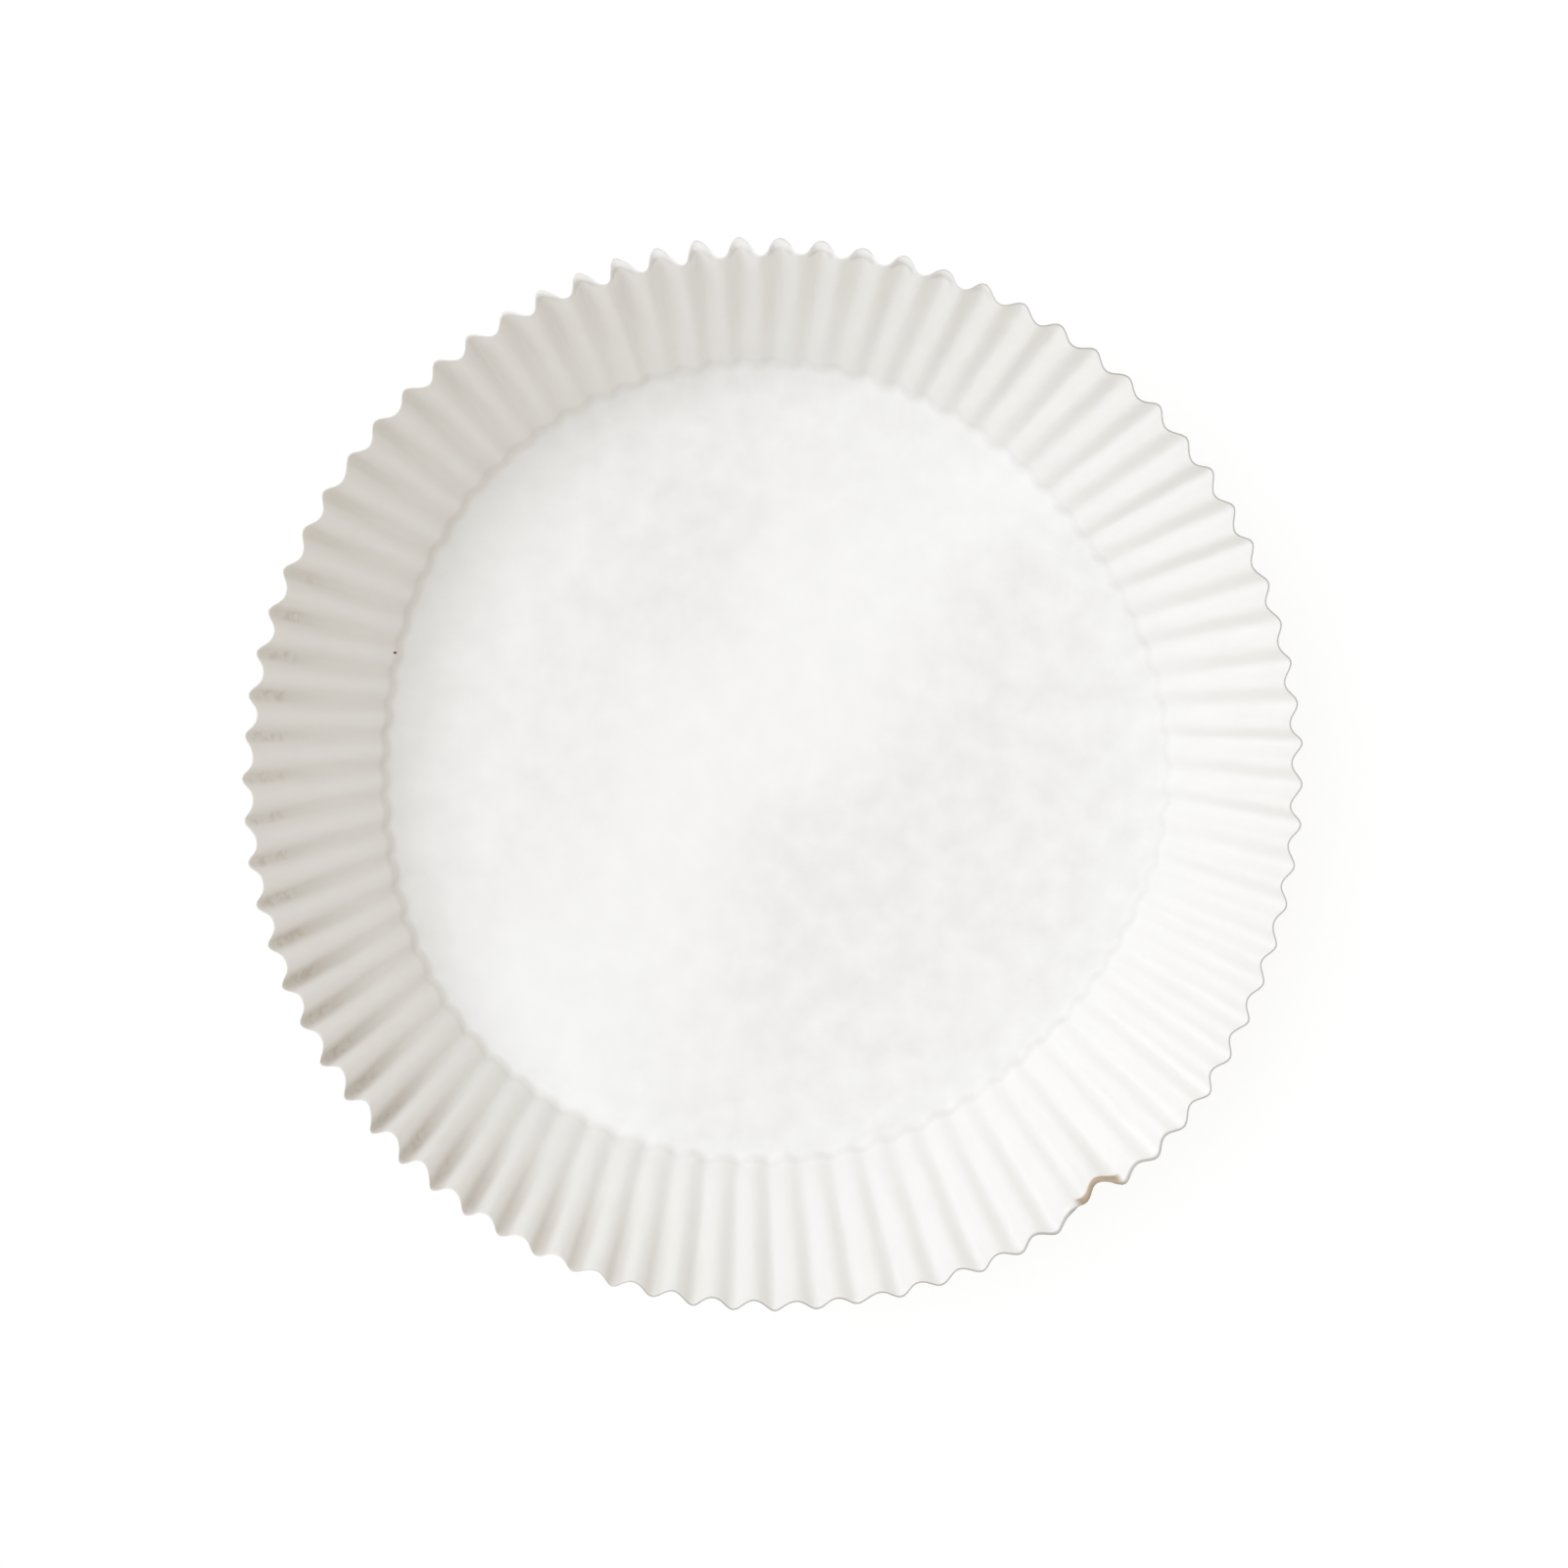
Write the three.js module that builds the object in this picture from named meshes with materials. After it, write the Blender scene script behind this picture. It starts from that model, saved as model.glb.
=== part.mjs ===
import * as THREE from 'three';
import { ParametricGeometry } from 'three/addons/geometries/ParametricGeometry.js';
import { mergeGeometries } from 'three/addons/utils/BufferGeometryUtils.js';

// A steamer paper liner: one round sheet of parchment, pressed so that its middle stays
// a flat base and its border stands up as a flaring wall, gathered into flutes.
// The origin is on the table under the middle of the base, +Z up out of the cup.

// Driving sizes, in millimetres
const baseDiameter = 160;
const mouthDiameter = 200;
const height = 45;
const paperThickness = 0.1;
const creaseRadius = 1.8;

// Flutes: depth is from valley to tip at the rim, and sharpness narrows the tips
const fluteCount = 80;
const fluteDepth = 2.2;
const tipSharpness = 0.05;

// Directions in degrees where the paper gathered into deeper flutes. The deeper a flute,
// the more it lies over to one side.
const deepFlutes = { directions: [110, 220], spread: 10.5, extra: 0.6 };
const leanOver = 0.6;

// The side on which the tips were pressed narrower
const sharpTips = { direction: 200, spread: 35, extra: 0.14 };

// How unevenly deep the flutes came out of the press, as a share of their depth:
// the product of two waves that run so many times around the liner
const depthUnevenness = { share: 0.2, waves: [17, 28] };

// One valley of the rim was pushed in
const dent = { direction: 307.5, spread: 2.5, depth: 1.6 };

// Direction of the first flute, and the lobes by which the others crowd together and
// spread apart, all in degrees
const firstFlute = 4.1;
const fluteDrift = [
  { count: 1, size: 0.65, direction: 271 },
  { count: 2, size: 0.25, direction: 49 },
  { count: 3, size: 0.31, direction: 311 },
  { count: 5, size: 0.14, direction: 12 },
];

// The sheet springs back out of round: lobes around the base's crease and around the rim
const baseLobes = [
  { count: 2, size: 0.9, direction: 85 },
  { count: 3, size: 1.35, direction: 115 },
  { count: 5, size: 0.5, direction: 70 },
];
const rimLobes = [
  { count: 2, size: 0.6, direction: 93 },
  { count: 4, size: 0.3, direction: 40 },
];

// Mesh fineness: columns across a flute, and the wall's rows as shares of its slant
const columnsPerFlute = 6;
const wallRows = [0.13, 0.47, 1];

const turn = 2 * Math.PI;
const baseRadius = baseDiameter / 2;
const rimRadius = (mouthDiameter - fluteDepth) / 2;
const slant = Math.hypot(rimRadius - baseRadius, height);
const blankRadius = baseRadius + slant;
const columns = fluteCount * columnsPerFlute;

// A smooth hill of height 1 at one direction, that falls away over the spread
function hill(angle, direction, spread) {
  const away = THREE.MathUtils.radToDeg(angle) - direction;
  const nearest = THREE.MathUtils.euclideanModulo(away + 180, 360) - 180;
  return Math.exp(-0.5 * (nearest / spread) ** 2);
}

// A size that goes all around the liner, at one angle, after its lobes are added
function lobed(size, lobes, angle) {
  let total = size;
  for (const { count, size: swing, direction } of lobes) {
    total += swing * Math.cos(count * (angle - THREE.MathUtils.degToRad(direction)));
  }
  return total;
}

// The wall in one direction before it is fluted: where its line meets the base,
// how steep it leans, and where the crease's arc begins and ends along the sheet.
// The sheet was cut round, so the wall is as long as the base leaves paper for it.
function wallLine(angle) {
  const foot = lobed(baseRadius, baseLobes, angle);
  const run = lobed(rimRadius, rimLobes, angle) - foot;
  const lean = Math.acos(run / (blankRadius - foot));
  const tangent = creaseRadius * Math.tan(lean / 2);
  return { foot, lean, creaseStart: foot - tangent, creaseEnd: foot + tangent };
}

// The section of the unfluted sheet: flat, then the crease's arc, then the straight wall.
// It gives a point's radius and height and how steep the sheet is there.
function sectionPoint(line, distance) {
  if (distance <= line.creaseStart) {
    return { radius: distance, rise: 0, steep: 0 };
  }
  if (distance < line.creaseEnd) {
    const share = (distance - line.creaseStart) / (line.creaseEnd - line.creaseStart);
    const steep = share * line.lean;
    return {
      radius: line.creaseStart + creaseRadius * Math.sin(steep),
      rise: creaseRadius * (1 - Math.cos(steep)),
      steep,
    };
  }
  const up = distance - line.foot;
  return {
    radius: line.foot + up * Math.cos(line.lean),
    rise: up * Math.sin(line.lean),
    steep: line.lean,
  };
}

// A flat ring of the sheet is longer than the circle it is pressed to, and the flutes
// take up what is left over. A wave that gathers a share of its length has a depth in
// proportion to its pitch and to the root of that share, so flutes open fast above
// the crease and slower towards the rim, where this is 1.
function gathered(distance, radius) {
  const spare = Math.max(distance - radius, 0) * radius;
  return Math.sqrt(spare / ((blankRadius - rimRadius) * rimRadius));
}

// How deep the flutes are in one direction, as a share of their usual depth
function fluteStrength(angle) {
  const [slow, quick] = depthUnevenness.waves.map((count) => Math.sin(count * angle));
  let strength = 1 + depthUnevenness.share * slow * quick;
  for (const direction of deepFlutes.directions) {
    strength += deepFlutes.extra * hill(angle, direction, deepFlutes.spread);
  }
  return strength;
}

// One flute's wave, 1 at its outer tip and -1 in its valley
function fluteWave(phase, angle) {
  const turned = phase - leanOver * (fluteStrength(angle) - 1) * Math.cos(phase);
  const { direction, spread, extra } = sharpTips;
  const sharpness = tipSharpness + extra * hill(angle, direction, spread);
  return Math.cos(turned) + sharpness * (Math.cos(2 * turned) - 1);
}

// The angle of a place around the sheet (0 to 1), where every flute takes an even share
function angleAt(around) {
  const even = turn * around;
  return even + THREE.MathUtils.degToRad(lobed(firstFlute, fluteDrift, even));
}

// How far the sheet stands out from its unfluted section, at a place around it
// and a distance along it from its centre
function standOut(around, distance) {
  const angle = angleAt(around);
  const { radius, rise } = sectionPoint(wallLine(angle), distance);
  const wave = fluteWave(turn * fluteCount * around, angle);
  const flute = (fluteDepth / 2) * fluteStrength(angle) * wave;
  const pushedIn = dent.depth * hill(angle, dent.direction, dent.spread);
  return gathered(distance, radius) * flute - (rise / height) ** 2 * pushedIn;
}

// The slope of a flute's flank against the unfluted wall
function flankSlope(around, distance, radius) {
  const step = 1e-6;
  const change = standOut(around + step, distance) - standOut(around - step, distance);
  return change / (2 * step * turn * radius);
}

// A point of the paper: side is 1 on its outer skin and -1 on its inner one.
// The thickness is square to the flank, so it is longer square to the unfluted wall.
function paperPoint(around, distance, side, target) {
  const angle = angleAt(around);
  const { radius, rise, steep } = sectionPoint(wallLine(angle), distance);
  const slope = steep > 0 ? flankSlope(around, distance, radius) : 0;
  const out = standOut(around, distance) + side * (paperThickness / 2) * Math.hypot(1, slope);
  const reach = radius + out * Math.sin(steep);
  return target.set(
    reach * Math.cos(angle),
    reach * Math.sin(angle),
    paperThickness / 2 + rise - out * Math.cos(steep),
  );
}

// Distances along the sheet at which the mesh has its rings, from centre to rim
function ringDistances(angle) {
  const { creaseStart, creaseEnd } = wallLine(angle);
  const wall = wallRows.map((share) => THREE.MathUtils.lerp(creaseEnd, blankRadius, share));
  return [0, creaseStart, (creaseStart + creaseEnd) / 2, creaseEnd, ...wall];
}

// One side of the paper, from the middle of the base to the rim. It faces out of the cup.
function skin(side) {
  const strips = ringDistances(0).length - 1;
  return new ParametricGeometry((around, share, target) => {
    const distances = ringDistances(angleAt(around));
    const strip = Math.min(Math.floor(share * strips), strips - 1);
    const within = share * strips - strip;
    const distance = THREE.MathUtils.lerp(distances[strip], distances[strip + 1], within);
    paperPoint(around, distance, side, target);
  }, columns, strips);
}

// The same surface with its faces and normals turned over
function turnedOver(surface) {
  const corners = surface.index.array;
  for (let i = 0; i < corners.length; i += 3) {
    [corners[i], corners[i + 1]] = [corners[i + 1], corners[i]];
  }
  surface.attributes.normal.array.forEach((value, i, all) => {
    all[i] = -value;
  });
  return surface;
}

// The cut edge at the rim, from the outer skin over to the inner one
function cutEdge() {
  return new ParametricGeometry((around, share, target) => {
    paperPoint(around, blankRadius, 1 - 2 * share, target);
  }, columns, 1);
}

function makeLiner() {
  const paper = new THREE.MeshStandardMaterial({ color: 0xf3f0e9, roughness: 0.8, metalness: 0 });
  const sheet = mergeGeometries([skin(1), turnedOver(skin(-1)), cutEdge()]);
  const liner = new THREE.Mesh(sheet, paper);
  liner.name = 'liner';
  return liner;
}

const steamerLiner = new THREE.Group();
steamerLiner.add(makeLiner());

export default steamerLiner;
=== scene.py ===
import bmesh
import bpy
import math
from mathutils import Matrix, Vector, noise


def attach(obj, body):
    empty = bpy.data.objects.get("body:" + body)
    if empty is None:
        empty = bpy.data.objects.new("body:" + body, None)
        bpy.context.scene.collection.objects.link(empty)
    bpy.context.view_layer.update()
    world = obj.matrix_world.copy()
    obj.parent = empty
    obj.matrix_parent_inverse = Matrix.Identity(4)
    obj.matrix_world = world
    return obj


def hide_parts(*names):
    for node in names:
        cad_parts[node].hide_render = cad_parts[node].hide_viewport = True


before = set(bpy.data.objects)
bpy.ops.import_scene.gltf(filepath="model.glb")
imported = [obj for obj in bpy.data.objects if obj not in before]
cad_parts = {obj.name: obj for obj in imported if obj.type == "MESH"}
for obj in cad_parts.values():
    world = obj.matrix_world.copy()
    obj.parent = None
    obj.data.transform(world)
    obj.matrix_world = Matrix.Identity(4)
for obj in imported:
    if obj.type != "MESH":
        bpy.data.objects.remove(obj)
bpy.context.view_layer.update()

print("frame loaded")


def linearColor(hexColor, alpha=1.0):
    # sRGB hex to the linear values that Blender's sockets take
    parts = [int(hexColor[i:i + 2], 16) / 255 for i in (0, 2, 4)]
    linear = [c / 12.92 if c <= 0.04045 else ((c + 0.055) / 1.055) ** 2.4 for c in parts]
    return (*linear, alpha)


def addNode(tree, kind, settings=None, links=None):
    # settings are sockets or properties, links are sockets fed by other sockets
    node = tree.nodes.new(kind)
    for name, value in (settings or {}).items():
        if isinstance(name, int) or name in node.inputs:
            node.inputs[name].default_value = value
        else:
            setattr(node, name, value)
    for name, source in (links or {}).items():
        tree.links.new(source, node.inputs[name])
    return node


def emptyMaterial(name):
    material = bpy.data.materials.new(name)
    material.use_nodes = True
    material.node_tree.nodes.clear()
    return material, material.node_tree


# The paper liner. Metres and degrees, directions counted from +X towards +Y.
paper = {
    "baseRadius": 0.080,
    "mouthRadius": 0.100,
    "height": 0.045,
    "thickness": 0.0001,
    "creaseRadius": 0.0026,
    "flutes": 80,
    "fluteDepth": 0.0022,
    "tipSharpness": 0.05,
    "sharpPlace": 200,  # the side where the tips are narrower
    "sharpSpread": 35,
    "sharpExtra": 0.14,
    "leanOver": 0.6,  # deeper flutes lie over to one side
    "depthShare": 0.2,  # how unevenly deep the flutes are
    "depthWaves": (17, 28),
    "deepPlaces": (110, 220),
    "deepSpread": 10.5,
    "deepExtra": 0.6,
    "firstFlute": 4.1,
    "fluteDrift": ((1, 0.65, 271), (2, 0.25, 49), (3, 0.31, 311), (5, 0.14, 12)),
    "dentPlace": 307.5,
    "dentSpread": 2.5,
    "dentDepth": 0.0021,
    "bulgePlace": 317,  # beside its dent the rim stands out
    "bulgeSpread": 11,
    "bulgeDepth": 0.0013,
    "baseLobes": ((2, 0.0009, 85), (3, 0.00135, 115), (5, 0.0005, 70)),
    "rimLobes": ((1, 0.0008, 285), (2, 0.0006, 93), (4, 0.0003, 40)),
    "rimBand": 0.0034,  # the top of the wall, that can curl outwards
    "curls": ((95, 18, 0.0023, 70), (307.5, 2.4, 0.0032, 135)),  # place, spread, length and turn
    "tipCurl": 95,  # the place where the tips curl most
    "tipFrom": -0.75,  # how high on the flute's wave that starts
    "betweenTips": 0.2,  # and the share of that curl between them
    "fullTurnFrom": 2 / 3,  # share of a curl's length from which it is fully turned
    "curlFold": 0.4,  # share of a curl's length that bends
    "columnsPerFlute": 12,
    "rings": (9, 5, 21, 6),  # in the base, the crease's arc, the wall and its rim band
    "wobble": 0.00014,  # how far the flutes' ridges stray
    "wobbleNoise": (210, 210, 60),  # per metre, longer up the wall than around it
    "wobbleSeed": 4,
    "steadyFoot": 1 / 6,  # share of the height over which the wobble sets in
    "creaseWidth": 0.0024,
    "creaseDents": 0.0002,
    "creaseScallops": 0.00028,  # how far each flute bites into the edge of the base
    "baseSwell": 0.0011,  # the base doesn't lie dead flat
    "swellNoise": 14,
    "swellShift": (3.1, -1.7, 0.4),
}
rimRadius = paper["mouthRadius"] - paper["fluteDepth"] / 2
slant = math.hypot(rimRadius - paper["baseRadius"], paper["height"])
blankRadius = paper["baseRadius"] + slant


def hill(angle, place, spread):
    away = (math.degrees(angle) - place + 180) % 360 - 180
    return math.exp(-0.5 * (away / spread) ** 2)


def lobed(size, lobes, angle):
    for count, swing, place in lobes:
        size += swing * math.cos(count * (angle - math.radians(place)))
    return size


def wallLine(angle):
    # where the wall's line meets the base, and how steep it stands
    foot = lobed(paper["baseRadius"], paper["baseLobes"], angle)
    run = lobed(rimRadius, paper["rimLobes"], angle) - foot
    lean = math.acos(run / (blankRadius - foot))
    return foot, lean, paper["creaseRadius"] * math.tan(lean / 2)


def fluteStrength(angle):
    slow, quick = (math.sin(count * angle) for count in paper["depthWaves"])
    deep = sum(hill(angle, place, paper["deepSpread"]) for place in paper["deepPlaces"])
    return 1 + paper["depthShare"] * slow * quick + paper["deepExtra"] * deep


def fluteWave(phase, angle):
    # 1 at a flute's outer tip and -1 in its valley
    turned = phase - paper["leanOver"] * (fluteStrength(angle) - 1) * math.cos(phase)
    sharper = paper["sharpExtra"] * hill(angle, paper["sharpPlace"], paper["sharpSpread"])
    return math.cos(turned) + (paper["tipSharpness"] + sharper) * (math.cos(2 * turned) - 1)


def gathered(distance, radius):
    # the flutes take up what a flat ring is longer than the circle it is pressed to
    spare = max(distance - radius, 0) * radius
    return math.sqrt(spare / ((blankRadius - rimRadius) * rimRadius))


def baseRise(x, y):
    # soft hills of the base, nothing at its crease
    inward = 1 - min(math.hypot(x, y) / paper["baseRadius"], 1) ** 4
    swell = noise.noise(Vector((x, y, 0)) * paper["swellNoise"] + Vector(paper["swellShift"]))
    return paper["baseSwell"] * inward * (0.5 + 0.5 * swell)


def curlAt(angle, wave):
    # how much of the rim is rolled outwards, and how far it turns
    curl, turn = 0.0, 0.0
    for place, spread, length, degrees in paper["curls"]:
        amount = hill(angle, place, spread)
        if place == paper["tipCurl"]:
            atTip = min(max(wave - paper["tipFrom"], 0), 1)
            amount *= paper["betweenTips"] + (1 - paper["betweenTips"]) * atTip
        if amount * length > curl:
            curl = amount * length
            turn = math.radians(degrees) * min(amount / paper["fullTurnFrom"], 1)
    return curl, turn


def lineAt(even):
    # all that stays the same up one line of the sheet, at an even angle of the flat blank
    angle = even + math.radians(lobed(paper["firstFlute"], paper["fluteDrift"], even))
    foot, lean, tangent = wallLine(angle)
    strength = fluteStrength(angle)
    wave = fluteWave(paper["flutes"] * even, angle)
    pushedIn = paper["dentDepth"] * hill(angle, paper["dentPlace"], paper["dentSpread"])
    pushedIn -= paper["bulgeDepth"] * hill(angle, paper["bulgePlace"], paper["bulgeSpread"])
    return angle, foot, lean, tangent, strength, wave, pushedIn, *curlAt(angle, wave)


def curled(lean, past, curl, turn):
    # the run and rise of a part of the sheet that is bent outwards at the rim
    fold = paper["curlFold"] * curl
    bend = turn * min(past / fold, 1)
    beyond = max(past - fold, 0)
    radius = fold / turn
    run = radius * (math.sin(lean) - math.sin(lean - bend)) + beyond * math.cos(lean - bend)
    rise = radius * (math.cos(lean - bend) - math.cos(lean)) + beyond * math.sin(lean - bend)
    return run, rise


def pressed(line, step):
    # a point on that line after pressing: steps 0 to 1 are the base, 1 to 2 the
    # crease's arc, 2 to 3 the wall and 3 to 4 its rim band
    angle, foot, lean, tangent, strength, wave, pushedIn, curl, turn = line
    if step <= 1:
        distance = radius = (foot - tangent) * step
        rise, steep = 0.0, 0.0
    elif step <= 2:
        steep = lean * (step - 1)
        distance = foot - tangent + 2 * tangent * (step - 1)
        radius = foot - tangent + paper["creaseRadius"] * math.sin(steep)
        rise = paper["creaseRadius"] * (1 - math.cos(steep))
    else:
        steep = lean
        full = blankRadius - foot
        if step <= 3:
            up = tangent + (full - paper["rimBand"] - tangent) * (step - 2)
        else:
            up = full - paper["rimBand"] * (4 - step)
        distance = foot + up
        straight = min(up, full - curl)
        radius = foot + straight * math.cos(lean)
        rise = straight * math.sin(lean)
        if up > straight and curl > 1e-5:
            run, extra = curled(lean, up - straight, curl, turn)
            radius += run
            rise += extra
    upWall = max(distance - foot + tangent, 0) / (blankRadius - foot + tangent)
    climb = max(rise / paper["height"], 0)
    flute = gathered(distance, radius) * paper["fluteDepth"] / 2 * strength * wave
    out = flute - pushedIn * climb ** 2
    atCrease = math.exp(-((distance - foot) / paper["creaseWidth"]) ** 2)
    reach = radius + out * math.sin(steep) + paper["creaseScallops"] * atCrease * wave
    place = Vector((reach * math.cos(angle), reach * math.sin(angle), rise - out * math.cos(steep)))
    scale = paper["wobbleNoise"]
    stray = noise.noise_vector(Vector((place.x * scale[0], place.y * scale[1], rise * scale[2])))
    if step > 1:
        place += stray * paper["wobble"] * min(climb / paper["steadyFoot"], 1)
    else:
        place.z += baseRise(place.x, place.y)
    place += Vector((stray.x, stray.y, max(stray.z, 0))) * paper["creaseDents"] * atCrease
    place.z += paper["thickness"] / 2
    return place, upWall, wave


def pressedPaper():
    # a line drawn out along the blank's radius, spun round and then pressed
    bm = bmesh.new()
    furrow = bm.verts.layers.float.new("furrow")
    height = bm.verts.layers.float.new("upWall")
    end = bm.verts.new((0, 0, 0))
    for step, rings in enumerate(paper["rings"]):
        for ring in range(1, rings + 1):
            end = bmesh.ops.extrude_vert_indiv(bm, verts=[end])["verts"][0]
            end.co.x = step + ring / rings
    count = paper["flutes"] * paper["columnsPerFlute"]
    bmesh.ops.spin(
        bm,
        geom=bm.verts[:] + bm.edges[:],
        cent=(0, 0, 0),
        axis=(0, 0, 1),
        angle=math.tau,
        steps=count,
        use_merge=True,
    )
    bmesh.ops.remove_doubles(bm, verts=bm.verts, dist=1e-4)
    bmesh.ops.recalc_face_normals(bm, faces=bm.faces)
    noise.seed_set(paper["wobbleSeed"])  # noise vectors start anywhere without it
    lines = [lineAt(math.tau * index / count) for index in range(count)]
    for vert in bm.verts:
        index = round(math.atan2(vert.co.y, vert.co.x) / math.tau * count) % count
        vert.co, vert[height], vert[furrow] = pressed(lines[index], vert.co.length)
    mesh = bpy.data.meshes.new("liner_paper")
    bm.to_mesh(mesh)
    bm.free()
    mesh.shade_smooth()
    piece = bpy.data.objects.new("liner_paper", mesh)
    bpy.context.collection.objects.link(piece)
    wall = piece.modifiers.new("paper thickness", "SOLIDIFY")
    wall.thickness = paper["thickness"]
    wall.offset = 0
    return piece


# Greaseproof parchment: calendered wood pulp, bleached. It is matt, off-white, a little
# cloudy where the fibres bunch, and thin enough for light behind it to glow through.
parchment = {
    "wallColor": "FAFAF9",
    "wallFrom": (0.03, 0.09),  # where the wall's colour takes over from the base's
    "cloudColor": "F7F7F6",
    "cloudSize": 0.006,
    "cloudShare": 0.8,
    # The base is painted darker than the wall, as painted shade: its painted light band in
    # baseColor, the rest in baseShadeColor.
    "baseColor": "EFEFED",
    "baseShadeColor": "E4E3E0",
    "bandAngle": 235.5,  # a painted light band crosses the base at this angle
    "bandOffset": -0.0085,
    "bandWidths": (0.006, 0.034),
    "bandWander": 0.04,
    "wanderSize": 0.045,
    "shadeSide": 98,  # the base has painted shade towards this side
    "shadeReach": (0.03, 0.085),
    "paintedLightSide": 180,  # and half as much painted shade towards this one, as painted light over the wall's shadow there
    "paintedLightReach": (0.01, 0.06),
    "paintedLightShare": 0.5,
    "speckColor": "8E4C42",
    "speckPlace": (-0.0751, 0.0230, 0.0),
    "speckSize": 0.00036,
    "roughness": 0.62,
    "ior": 1.5,
    "glow": 0.2,
    "fibreSize": 0.0007,
    "fibreRelief": 0.00002,
    "crinkleSize": 0.004,
    "crinkleRelief": 0.00004,
}

# the colour of the painted shade in the grooves and the crease
grooveShadeColor = "CDC6BA"
# the colour of the painted shade along the rim, its dent and its lips
rimShadeColor = "C0BEBA"

# Painted shade laid on the paper as tints, in this order. A tint shows where all its ranges are
# met: "near" is the cosine of the angle from its side, "up" and "down" are shares of the
# way from crease to rim, "furrow" runs from -1 on a ridge to 1 in a groove, and "blots"
# is how thick its blots are.
paintedShades = (
    # painted shade in the grooves on the side turned from the window, low on the wall and near the
    # rim, and in those of the deepest flutes
    {"color": grooveShadeColor, "share": 0.19, "side": 176, "near": (0.2, 0.95),
     "up": (0.03, 0.09), "furrow": (-2.2, 1.0)},
    {"color": grooveShadeColor, "share": 0.2, "side": 176, "near": (0.2, 0.95),
     "up": (0.4, 0.95), "furrow": (-0.1, 1.0)},
    {"color": grooveShadeColor, "share": 0.4, "side": 226, "near": (0.76, 0.97),
     "up": (0.3, 0.95), "furrow": (-0.6, 0.7)},
    # painted shade in the crease on the side turned from the window
    {"color": grooveShadeColor, "share": 0.22, "side": 176, "near": (0.2, 0.95),
     "up": (0.01, 0.035), "down": (0.1, 0.055)},
    # brownish, blotchy painted shade in the grooves on the side turned from the window, a little
    # below the rim
    {"color": "AE967A", "share": 0.21, "side": 194, "near": (0.66, 0.9), "up": (0.68, 0.82),
     "down": (0.985, 0.93), "furrow": (0.1, 0.9), "blots": (0.43, 0.64), "blotSize": 0.002},
    # painted shade on the cut edge where it is turned from the window, and broader by the dent
    {"color": rimShadeColor, "share": 1.0, "side": -20, "near": (-0.2, 0.25),
     "up": (0.99017, 0.9957)},
    {"color": rimShadeColor, "share": 0.7, "side": 308.1, "near": (0.972, 0.994),
     "up": (0.98033, 0.99017)},
    # painted shade on the paper folded over in the dent
    {"color": "BCAB94", "share": 1.0, "side": 308.1, "near": (0.9986, 0.9993),
     "up": (0.932, 0.948)},
    # painted shade on the lips of the far flutes, that are turned over, where their undersides lie
    # in shade
    {"color": rimShadeColor, "share": 0.33, "side": 92, "near": (0.86, 0.97),
     "up": (0.95, 0.962), "furrow": (-0.8, 0.3)},
)


def ramp(tree, value, low, high):
    # 0 below low and 1 above high, smooth between them
    node = addNode(
        tree, "ShaderNodeMapRange",
        {"interpolation_type": "SMOOTHSTEP", "From Min": low, "From Max": high},
        {"Value": value})
    return node.outputs["Result"]


def times(tree, first, second):
    node = addNode(tree, "ShaderNodeMath", {"operation": "MULTIPLY"}, {0: first})
    if isinstance(second, float):
        node.inputs[1].default_value = second
    else:
        tree.links.new(second, node.inputs[1])
    return node.outputs[0]


def tinted(tree, share, color, hexColor):
    # the colour so far, mixed with a share of another
    settings = {"data_type": "RGBA", 7: linearColor(hexColor)}
    node = addNode(tree, "ShaderNodeMix", settings, {0: share})
    if isinstance(color, str):
        node.inputs[6].default_value = linearColor(color)
    else:
        tree.links.new(color, node.inputs[6])
    return node.outputs[2]


def cloudy(tree, place, size, detail=2.0):
    settings = {"Scale": 1 / size, "Detail": detail}
    return addNode(tree, "ShaderNodeTexNoise", settings, {"Vector": place}).outputs["Fac"]


def towards(tree, place, degrees):
    # how far a place lies towards a direction from the middle of the base
    way = (math.cos(math.radians(degrees)), math.sin(math.radians(degrees)), 0)
    node = addNode(
        tree, "ShaderNodeVectorMath", {"operation": "DOT_PRODUCT", 1: way}, {0: place})
    return node.outputs["Value"]


def paintedBaseShade(tree, place):
    # how much painted shade the base gets: 0 in the painted light band across it, 1 away from it
    # and on its shaded side
    across = towards(tree, place, parchment["bandAngle"] + 90)
    wander = addNode(
        tree, "ShaderNodeMath", {"operation": "MULTIPLY_ADD", 1: parchment["bandWander"]},
        {0: cloudy(tree, place, parchment["wanderSize"], 1.0), 2: across}).outputs[0]
    shift = -parchment["bandOffset"] - parchment["bandWander"] / 2
    centred = addNode(tree, "ShaderNodeMath", {"operation": "ADD", 1: shift}, {0: wander})
    away = addNode(
        tree, "ShaderNodeMath", {"operation": "ABSOLUTE"}, {0: centred.outputs[0]}).outputs[0]
    shadeSide = ramp(tree, towards(tree, place, parchment["shadeSide"]), *parchment["shadeReach"])
    shadeShare = addNode(
        tree, "ShaderNodeMath", {"operation": "MAXIMUM"},
        {0: ramp(tree, away, *parchment["bandWidths"]), 1: shadeSide}).outputs[0]
    paintedLight = ramp(tree, towards(tree, place, parchment["paintedLightSide"]), *parchment["paintedLightReach"])
    less = times(tree, paintedLight, -parchment["paintedLightShare"])
    kept = addNode(tree, "ShaderNodeMath", {"operation": "ADD", 1: 1.0}, {0: less}).outputs[0]
    return times(tree, shadeShare, kept)


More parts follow.
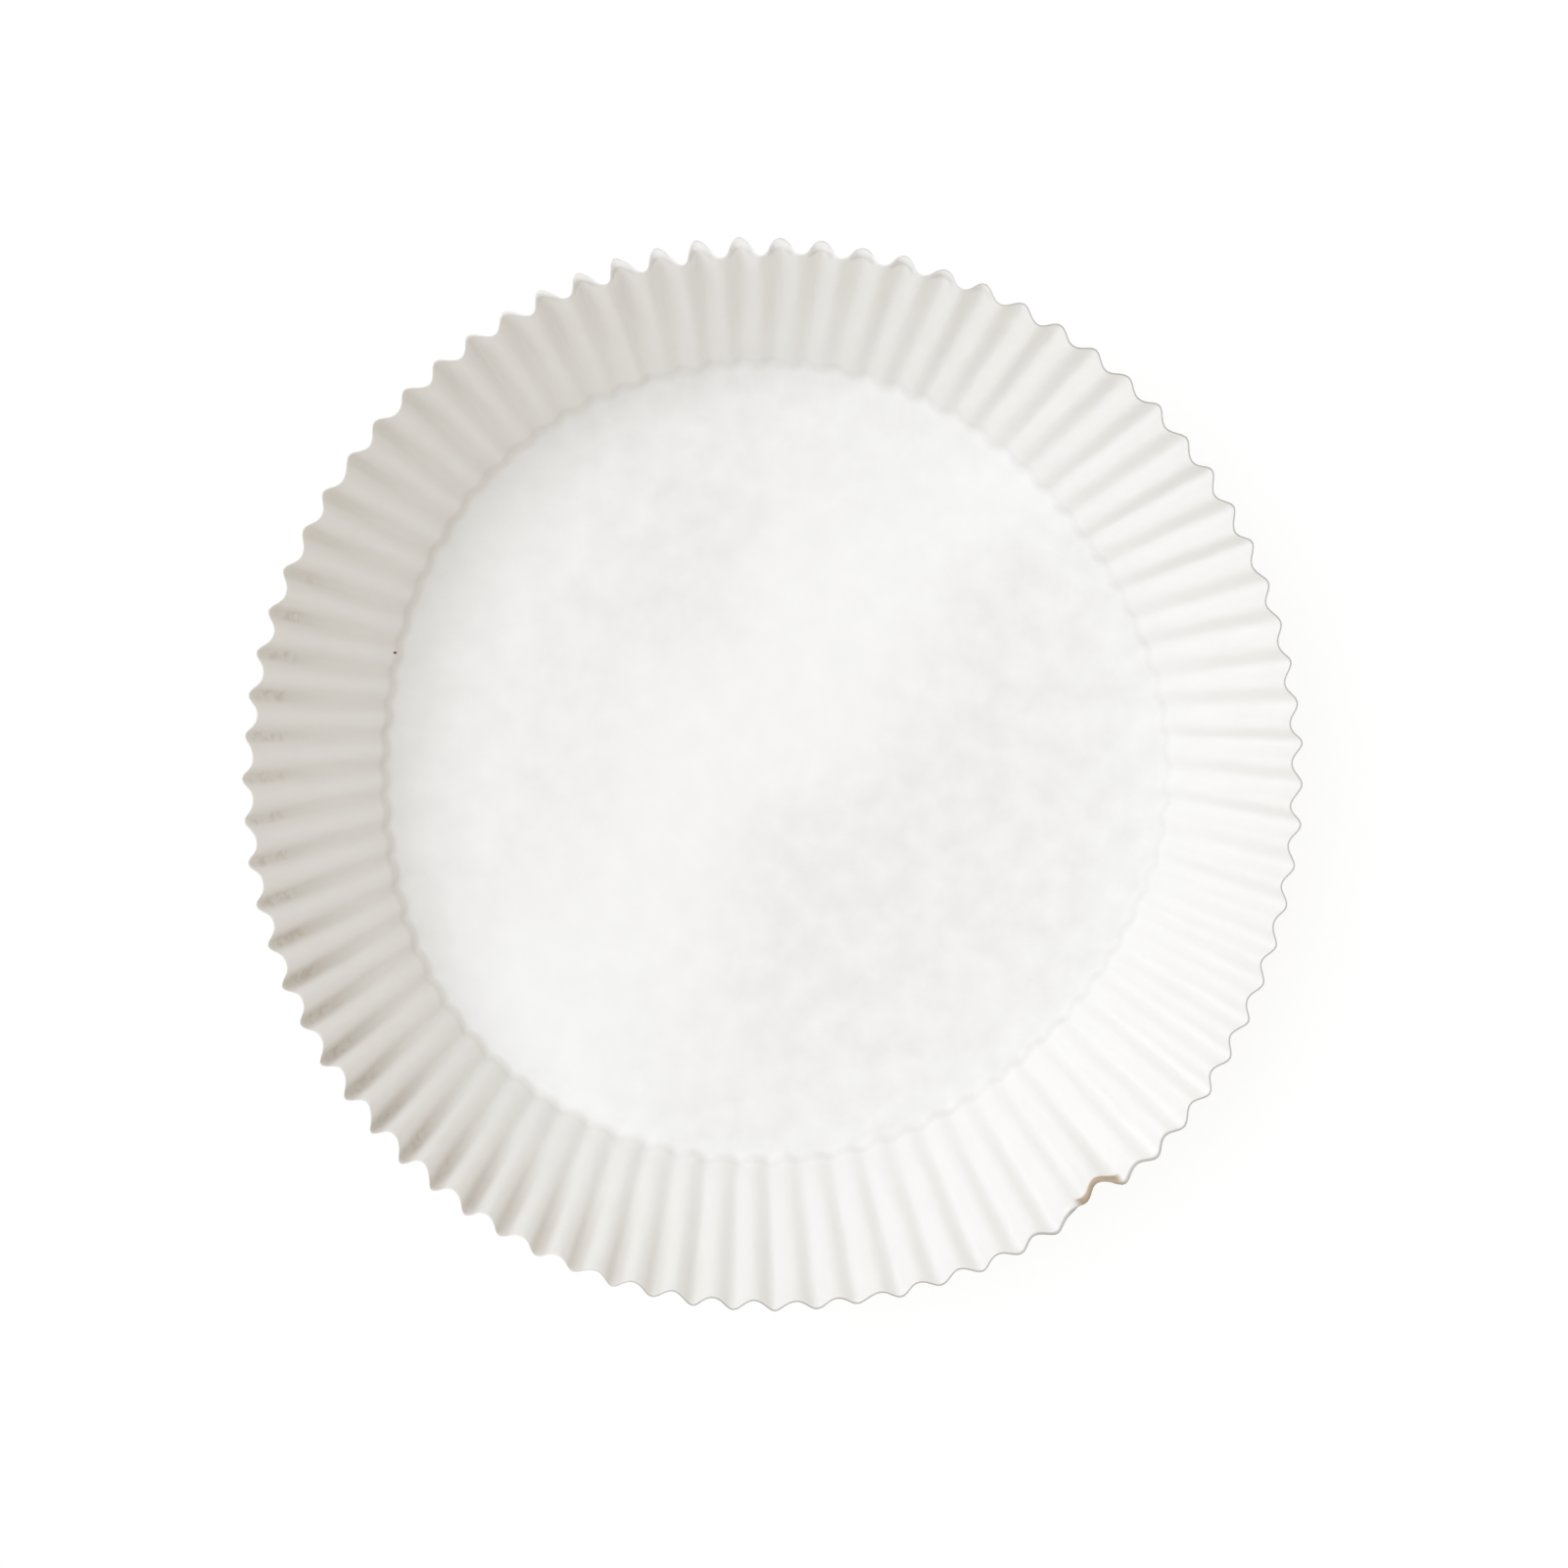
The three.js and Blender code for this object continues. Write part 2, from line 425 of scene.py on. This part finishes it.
def tintShare(tree, tint, place, outward, upWall, furrow):
    # how much of a tint shows: all its ranges multiplied
    share = ramp(tree, towards(tree, outward, tint["side"]), *tint["near"])
    share = times(tree, share, ramp(tree, upWall, *tint["up"]))
    if "down" in tint:
        share = times(tree, share, ramp(tree, upWall, *tint["down"]))
    if "furrow" in tint:
        share = times(tree, share, ramp(tree, furrow, *tint["furrow"]))
    if "blots" in tint:
        blots = cloudy(tree, place, tint["blotSize"], 3.0)
        share = times(tree, share, ramp(tree, blots, *tint["blots"]))
    return times(tree, share, tint["share"])


def parchmentColor(tree, place):
    upWall, furrow = (
        addNode(tree, "ShaderNodeAttribute", {"attribute_name": name}).outputs["Fac"]
        for name in ("upWall", "furrow"))
    level = addNode(
        tree, "ShaderNodeVectorMath", {"operation": "MULTIPLY", 1: (1, 1, 0)},
        {0: place}).outputs[0]
    outward = addNode(
        tree, "ShaderNodeVectorMath", {"operation": "NORMALIZE"}, {0: level}).outputs[0]
    # painted shade and painted light on the base, then the wall's own colour above the crease
    base = tinted(tree, paintedBaseShade(tree, level), parchment["baseColor"], parchment["baseShadeColor"])
    onWall = ramp(tree, upWall, *parchment["wallFrom"])
    pulpAndShade = tinted(tree, onWall, base, parchment["wallColor"])
    clouds = cloudy(tree, place, parchment["cloudSize"], 3.0)
    pulpAndShade = tinted(
        tree, times(tree, clouds, parchment["cloudShare"]), pulpAndShade, parchment["cloudColor"])
    # the painted shade laid over the paper's own colour
    for tint in paintedShades:
        share = tintShare(tree, tint, place, outward, upWall, furrow)
        pulpAndShade = tinted(tree, share, pulpAndShade, tint["color"])
    # one speck of bark in the pulp
    apart = addNode(
        tree, "ShaderNodeVectorMath",
        {"operation": "DISTANCE", 1: parchment["speckPlace"]}, {0: level}).outputs["Value"]
    speck = ramp(tree, apart, parchment["speckSize"], parchment["speckSize"] / 2)
    return tinted(tree, speck, pulpAndShade, parchment["speckColor"])


def parchmentMaterial():
    material, tree = emptyMaterial("greaseproof parchment")
    place = addNode(tree, "ShaderNodeTexCoord").outputs["Object"]
    color = parchmentColor(tree, place)
    soft = addNode(
        tree, "ShaderNodeBump", {"Strength": 1.0, "Distance": parchment["crinkleRelief"]},
        {"Height": cloudy(tree, place, parchment["crinkleSize"])}).outputs["Normal"]
    fine = addNode(
        tree, "ShaderNodeBump", {"Strength": 1.0, "Distance": parchment["fibreRelief"]},
        {"Height": cloudy(tree, place, parchment["fibreSize"]), "Normal": soft}).outputs["Normal"]
    surface = addNode(
        tree, "ShaderNodeBsdfPrincipled",
        {"Roughness": parchment["roughness"], "IOR": parchment["ior"]},
        {"Base Color": color, "Normal": fine})
    through = addNode(tree, "ShaderNodeBsdfTranslucent", {}, {"Color": color, "Normal": fine})
    both = addNode(
        tree, "ShaderNodeMixShader", {0: parchment["glow"]},
        {1: surface.outputs[0], 2: through.outputs[0]})
    addNode(tree, "ShaderNodeOutputMaterial", {}, {"Surface": both.outputs[0]})
    return material


linerPaper = pressedPaper()
linerPaper.data.materials.append(parchmentMaterial())
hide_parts("liner")
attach(linerPaper, "root")
print("liner pressed:", len(linerPaper.data.polygons), "faces")


# The table it stands on: plain white, and it keeps a light shadow
table = {"size": 3.0, "color": "F7F7F6", "shownWhite": 0.85}


def tableTop():
    bm = bmesh.new()
    bmesh.ops.create_grid(bm, x_segments=1, y_segments=1, size=table["size"])
    mesh = bpy.data.meshes.new("table_top")
    bm.to_mesh(mesh)
    bm.free()
    top = bpy.data.objects.new("table_top", mesh)
    bpy.context.collection.objects.link(top)
    return top


def tableMaterial():
    # seen by the camera it is mostly plain white, and for all other light it is matt
    material, tree = emptyMaterial("matt white laminate")
    matt = addNode(tree, "ShaderNodeBsdfDiffuse", {"Color": linearColor(table["color"])})
    white = addNode(tree, "ShaderNodeEmission", {"Strength": 1.0})
    seen = addNode(tree, "ShaderNodeLightPath").outputs["Is Camera Ray"]
    both = addNode(
        tree, "ShaderNodeMixShader", {},
        {0: times(tree, seen, table["shownWhite"]), 1: matt.outputs[0], 2: white.outputs[0]})
    addNode(tree, "ShaderNodeOutputMaterial", {}, {"Surface": both.outputs[0]})
    return material


floor = tableTop()
floor.data.materials.append(tableMaterial())
print("table laid")


# Soft cool daylight from high on the left, and the warmer light of a pale room all round
daylight = {
    "direction": 156,
    "elevation": 66,
    "strength": 2.17,
    "softness": 38,
    "color": "E8EFFB",
    "room": 0.70,
    "roomColor": "FFF7EB",
}


def addRoom():
    # the room's light is warm, and what the camera sees of it is plain white
    world = bpy.data.worlds.new("pale room")
    bpy.context.scene.world = world
    world.use_nodes = True
    tree = world.node_tree
    tree.nodes.clear()
    room = addNode(
        tree, "ShaderNodeBackground",
        {"Color": linearColor(daylight["roomColor"]), "Strength": daylight["room"]})
    shown = addNode(tree, "ShaderNodeBackground", {"Color": (1, 1, 1, 1), "Strength": 1.0})
    seen = addNode(tree, "ShaderNodeLightPath").outputs["Is Camera Ray"]
    both = addNode(
        tree, "ShaderNodeMixShader", {}, {0: seen, 1: room.outputs[0], 2: shown.outputs[0]})
    addNode(tree, "ShaderNodeOutputWorld", {}, {"Surface": both.outputs[0]})


def addWindow():
    lamp = bpy.data.lights.new("window light", "SUN")
    lamp.energy = daylight["strength"]
    lamp.color = linearColor(daylight["color"])[:3]
    lamp.angle = math.radians(daylight["softness"])
    window = bpy.data.objects.new("window light", lamp)
    bpy.context.collection.objects.link(window)
    turn, up = math.radians(daylight["direction"]), math.radians(daylight["elevation"])
    way = Vector((math.cos(up) * math.cos(turn), math.cos(up) * math.sin(turn), math.sin(up)))
    window.rotation_euler = way.to_track_quat("Z", "Y").to_euler()
    window.location = way


# Nearly straight down on the liner, from a little beyond its far left side
camera = {
    "lens": 65.1,
    "sensor": 36.0,
    "place": (-0.0150, 0.0350, 0.5735),
    "aim": (0.0030, -0.0037, 0.0),
}


def addCamera():
    lens = bpy.data.cameras.new("photo camera")
    lens.lens = camera["lens"]
    lens.sensor_width = camera["sensor"]
    lens.clip_start = 0.01
    lens.clip_end = 20
    shot = bpy.data.objects.new("photo camera", lens)
    bpy.context.collection.objects.link(shot)
    shot.location = camera["place"]
    back = (Vector(camera["place"]) - Vector(camera["aim"])).normalized()
    right = Vector((0, 1, 0)).cross(back).normalized()  # +Y is the top of the picture
    shot.rotation_euler = Matrix((right, back.cross(right), back)).transposed().to_euler()
    bpy.context.scene.camera = shot


addRoom()
addWindow()
addCamera()
bpy.context.scene.view_settings.view_transform = "Standard"
print("light and camera set")
